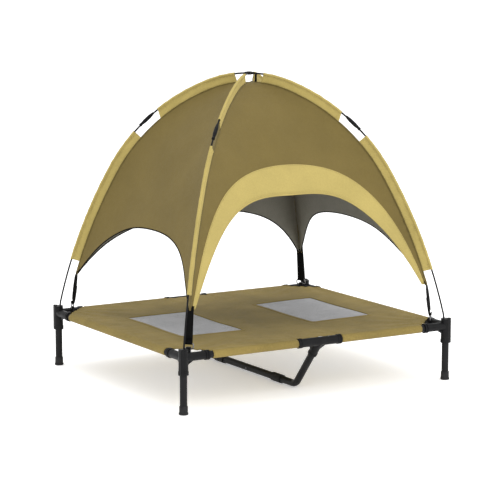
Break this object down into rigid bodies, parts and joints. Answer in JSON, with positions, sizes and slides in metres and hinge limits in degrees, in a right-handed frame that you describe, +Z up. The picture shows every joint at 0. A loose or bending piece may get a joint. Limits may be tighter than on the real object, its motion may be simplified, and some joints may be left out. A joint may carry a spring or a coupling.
{
  "type": "raised pet cot with canopy",
  "caption": "Raised cloth cot on a steel tube frame with moulded corners, under a domed sun canopy held by bent poles, arched open on all sides.",
  "frame": {"origin": "centre of the footprint, on the floor", "axes": "+Z up, +X along the long side to the right as seen from the front, -Y towards the front arch with the broad band"},
  "size_m": [1.0954, 0.9614, 1.0795],
  "materials": {
    "connector_plastic": "satin moulded",
    "frame_steel": "satin powder coat",
    "rubber": "matt",
    "bright_steel": "bright plated",
    "spring_steel": "bare",
    "webbing": "ribbed webbing",
    "pole_fibreglass": "satin",
    "joint_plastic": "fine grain",
    "bed_cloth": "coated plain weave",
    "mesh_cloth": "open mesh",
    "canopy_cloth": "plain weave, dark coated inside",
    "sleeve_cloth": "plain weave"
  },
  "bodies": {
    "frame": {"corner_connector_back_right": "connector_plastic", "corner_connector_front_right": "connector_plastic", "corner_connector_back_left": "connector_plastic", "corner_connector_front_left": "connector_plastic", "leg_tube_back_right": "frame_steel", "leg_tube_front_right": "frame_steel", "leg_tube_back_left": "frame_steel", "leg_tube_front_left": "frame_steel", "leg_feet": "rubber", "long_rail_back_right": "frame_steel", "long_rail_front_right": "frame_steel", "long_rail_back_left": "frame_steel", "long_rail_front_left": "frame_steel", "side_rail_right": "frame_steel", "side_rail_left": "frame_steel", "tee_connector_back": "connector_plastic", "tee_connector_front": "connector_plastic", "centre_brace_back": "frame_steel", "centre_brace_front": "frame_steel", "brace_floor_pads": "rubber", "bed_sheet": "bed_cloth", "mesh_windows": "mesh_cloth"},
    "canopy": {"canopy_strap_back_right": "webbing", "canopy_strap_front_right": "webbing", "canopy_strap_back_left": "webbing", "canopy_strap_front_left": "webbing", "pole_lower_back_right": "pole_fibreglass", "pole_lower_front_right": "pole_fibreglass", "pole_lower_back_left": "pole_fibreglass", "pole_lower_front_left": "pole_fibreglass", "pole_upper_back_right": "pole_fibreglass", "pole_upper_front_right": "pole_fibreglass", "pole_upper_back_left": "pole_fibreglass", "pole_upper_front_left": "pole_fibreglass", "pole_joint_back_right": "joint_plastic", "pole_joint_front_right": "joint_plastic", "pole_joint_back_left": "joint_plastic", "pole_joint_front_left": "joint_plastic", "apex_hub": "joint_plastic", "apex_tie": "webbing", "canopy_panel_right": "canopy_cloth", "canopy_panel_left": "canopy_cloth", "canopy_panel_back": "canopy_cloth", "canopy_panel_front": "canopy_cloth", "canopy_front_band": "sleeve_cloth", "pole_sleeve_lower_back_right": "sleeve_cloth", "pole_sleeve_lower_front_right": "sleeve_cloth", "pole_sleeve_lower_back_left": "sleeve_cloth", "pole_sleeve_lower_front_left": "sleeve_cloth", "pole_sleeves_upper": "sleeve_cloth"},
    "ring_back_right": {"strap_ring_back_right": "bright_steel", "strap_loop_back_right": "webbing"},
    "ring_front_right": {"strap_ring_front_right": "bright_steel", "strap_loop_front_right": "webbing"},
    "ring_back_left": {"strap_ring_back_left": "bright_steel", "strap_loop_back_left": "webbing"},
    "ring_front_left": {"strap_ring_front_left": "bright_steel", "strap_loop_front_left": "webbing"},
    "button": {"snap_button": "bright_steel", "button_leaf_spring": "spring_steel"}
  },
  "joints": [
    {"name": "canopy_lift", "type": "slide", "parent": "frame", "child": "canopy", "axis": [0, 0, 1], "range_m": [0, 0.12]},
    {"name": "strap_ring_swing_back_right", "type": "hinge", "parent": "frame", "child": "ring_back_right", "pos_m": [0.49084, 0.42879, 0.213], "axis": [0.6579, -0.7531, 0], "range_deg": [0, 60]},
    {"name": "strap_ring_swing_front_right", "type": "hinge", "parent": "frame", "child": "ring_front_right", "pos_m": [0.49084, -0.42879, 0.213], "axis": [-0.6579, -0.7531, 0], "range_deg": [0, 60]},
    {"name": "strap_ring_swing_back_left", "type": "hinge", "parent": "frame", "child": "ring_back_left", "pos_m": [-0.49084, 0.42879, 0.213], "axis": [0.6579, 0.7531, 0], "range_deg": [0, 60]},
    {"name": "strap_ring_swing_front_left", "type": "hinge", "parent": "frame", "child": "ring_front_left", "pos_m": [-0.49084, -0.42879, 0.213], "axis": [-0.6579, 0.7531, 0], "range_deg": [0, 60]},
    {"name": "snap_button_press", "type": "slide", "parent": "frame", "child": "button", "axis": [1, 0, 0], "range_m": [0, 0.0045], "stiffness_N_per_m": 900, "springref_m": -0.004}
  ]
}
